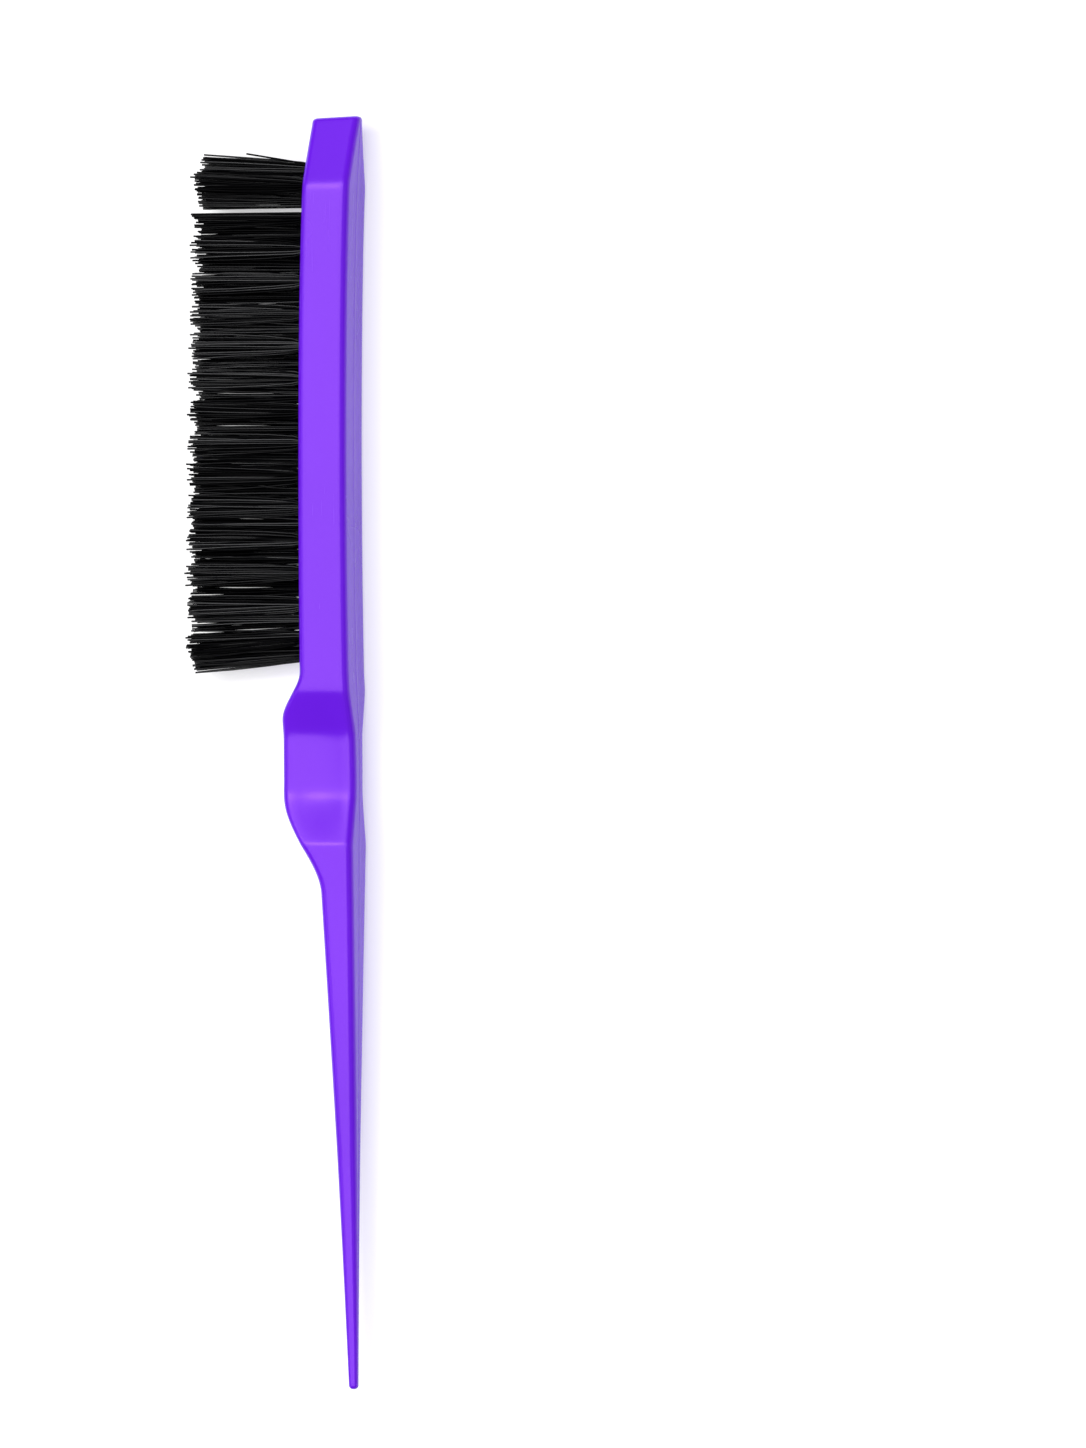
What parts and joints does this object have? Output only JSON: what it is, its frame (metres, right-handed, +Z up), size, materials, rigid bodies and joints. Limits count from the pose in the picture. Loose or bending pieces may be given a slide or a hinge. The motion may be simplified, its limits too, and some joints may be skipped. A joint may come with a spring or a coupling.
{
  "type": "rat tail teasing brush",
  "caption": "Rat tail teasing brush: slim head with staggered rows of nylon bristle tufts, a waisted finger rest and a long pointed tail for parting hair.",
  "frame": {"origin": "bottom centre of the whole brush's box, lying on its flat side: the surface that it lies on is Z = 0", "axes": "+X along the brush towards the head's tip, +Y the way the bristles point, +Z up, across the thickness of the head"},
  "size_m": [0.23, 0.0312, 0.012],
  "materials": {
    "handle_plastic": "glossy moulded, purple",
    "bristle_nylon": "satin drawn nylon filament, black",
    "anchor_metal": "bright flat wire, hidden in the blind holes"
  },
  "bodies": {
    "root": {"handle": "handle_plastic", "middle_tuft_01": "bristle_nylon", "middle_tuft_02": "bristle_nylon", "middle_tuft_03": "bristle_nylon", "middle_tuft_04": "bristle_nylon", "middle_tuft_05": "bristle_nylon", "middle_tuft_06": "bristle_nylon", "middle_tuft_07": "bristle_nylon", "middle_tuft_08": "bristle_nylon", "middle_tuft_09": "bristle_nylon", "middle_tuft_10": "bristle_nylon", "middle_tuft_11": "bristle_nylon", "middle_tuft_12": "bristle_nylon", "middle_tuft_13": "bristle_nylon", "middle_tuft_14": "bristle_nylon", "middle_tuft_15": "bristle_nylon", "middle_tuft_16": "bristle_nylon", "upper_tuft_01": "bristle_nylon", "upper_tuft_02": "bristle_nylon", "upper_tuft_03": "bristle_nylon", "upper_tuft_04": "bristle_nylon", "upper_tuft_05": "bristle_nylon", "upper_tuft_06": "bristle_nylon", "upper_tuft_07": "bristle_nylon", "upper_tuft_08": "bristle_nylon", "upper_tuft_09": "bristle_nylon", "upper_tuft_10": "bristle_nylon", "upper_tuft_11": "bristle_nylon", "upper_tuft_12": "bristle_nylon", "upper_tuft_13": "bristle_nylon", "upper_tuft_14": "bristle_nylon", "upper_tuft_15": "bristle_nylon", "lower_tuft_01": "bristle_nylon", "lower_tuft_02": "bristle_nylon", "lower_tuft_03": "bristle_nylon", "lower_tuft_04": "bristle_nylon", "lower_tuft_05": "bristle_nylon", "lower_tuft_06": "bristle_nylon", "lower_tuft_07": "bristle_nylon", "lower_tuft_08": "bristle_nylon", "lower_tuft_09": "bristle_nylon", "lower_tuft_10": "bristle_nylon", "lower_tuft_11": "bristle_nylon", "lower_tuft_12": "bristle_nylon", "lower_tuft_13": "bristle_nylon", "lower_tuft_14": "bristle_nylon", "lower_tuft_15": "bristle_nylon"}
  },
  "joints": []
}
